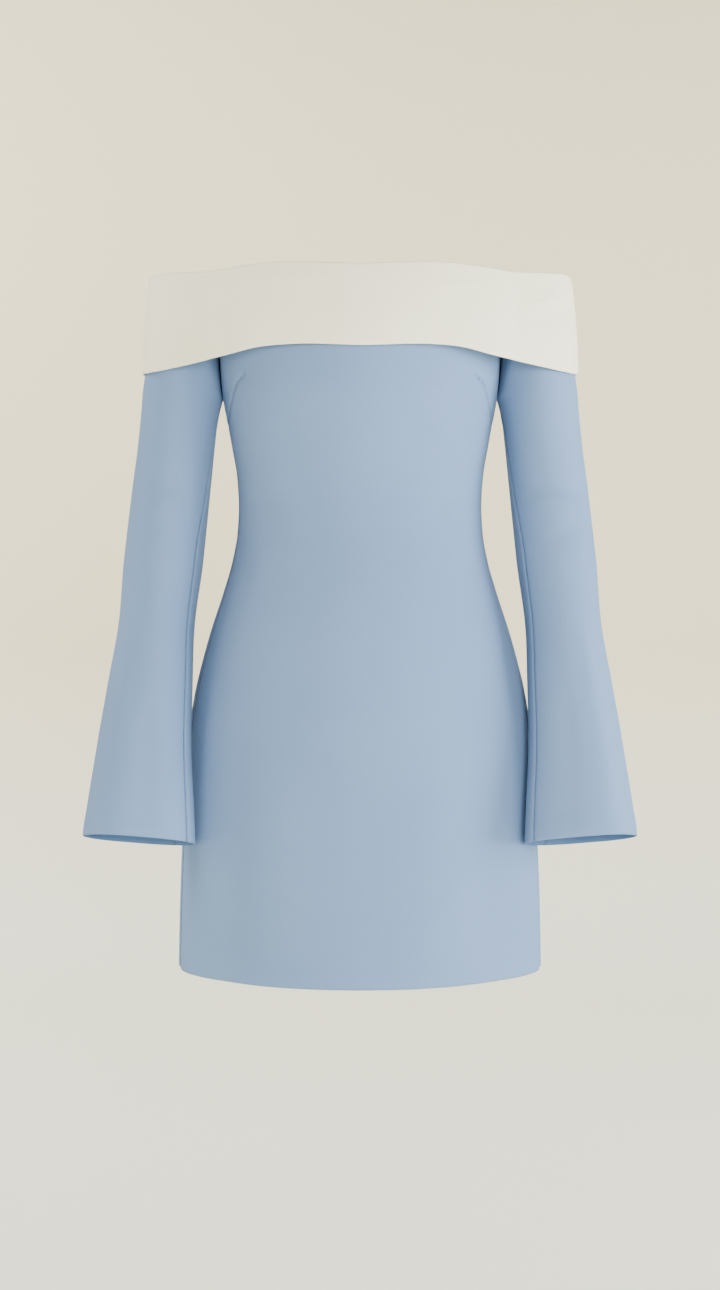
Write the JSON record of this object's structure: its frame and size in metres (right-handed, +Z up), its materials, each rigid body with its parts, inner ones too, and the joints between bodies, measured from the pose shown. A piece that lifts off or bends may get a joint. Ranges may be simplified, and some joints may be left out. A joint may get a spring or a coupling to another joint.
{
  "type": "off-shoulder dress",
  "caption": "Powder-blue crepe mini dress, hollow as worn, with an ivory fold-over off-shoulder band, long flared sleeves and a concealed back zip.",
  "frame": {"origin": "the middle of the dress's bust section, level with the underarm, where the wearer's body holds it", "axes": "+Z up, the front faces -Y, +X to the right as one looks at the front"},
  "size_m": [0.5562, 0.246, 0.7204],
  "materials": {
    "crepe": "matte powder-blue crepe",
    "band": "smooth ivory satin-backed crepe",
    "zip_metal": "satin nickel plate, tinted to the cloth"
  },
  "bodies": {
    "dress": {"front": "crepe", "back_left": "crepe", "back_right": "crepe", "sleeve_upper_left": "crepe", "sleeve_upper_right": "crepe", "sleeve_under_left": "crepe", "sleeve_under_right": "crepe", "band_front": "band", "band_back_left": "band", "band_back_right": "band", "zip_slider": "zip_metal"},
    "pull_tab": {"zip_pull": "zip_metal"}
  },
  "joints": [
    {"name": "zip_pull_hinge", "type": "hinge", "parent": "dress", "child": "pull_tab", "pos_m": [0, 0.10574, 0.1057], "axis": [1, 0, 0], "range_deg": [0, 165]}
  ]
}
